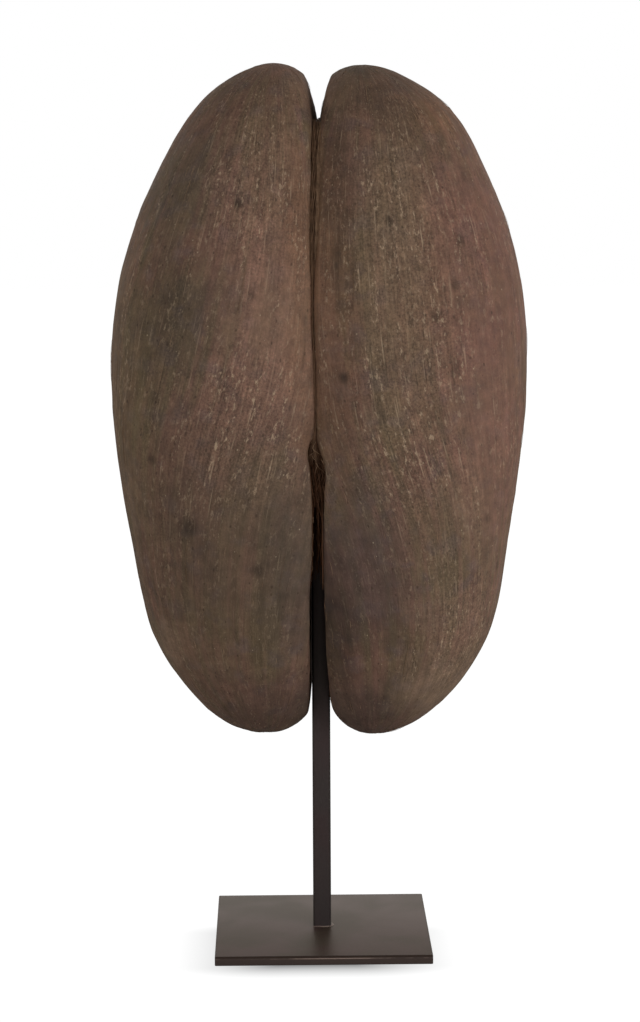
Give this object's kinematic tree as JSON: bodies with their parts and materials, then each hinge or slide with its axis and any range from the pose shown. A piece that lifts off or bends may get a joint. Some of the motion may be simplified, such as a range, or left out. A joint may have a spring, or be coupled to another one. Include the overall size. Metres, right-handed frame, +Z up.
{
  "type": "coco de mer seed on a display stand",
  "caption": "Double coconut seed with two long lobes, carried upright by a square post on a square metal base plate.",
  "frame": {"origin": "on the surface that the base plate stands on, under the middle of the whole object", "axes": "+Z up along the post, +X to the right of someone who faces the nut's belly, +Y to the back"},
  "size_m": [0.1903, 0.1304, 0.4085],
  "materials": {
    "husk": "dry fibrous seed shell, matt brown",
    "stand_paint": "satin dark brown paint on steel",
    "screw_steel": "plain zinc-plated steel"
  },
  "bodies": {
    "root": {"nut": "husk", "post": "stand_paint", "base_plate": "stand_paint", "screw": "screw_steel"}
  },
  "joints": []
}
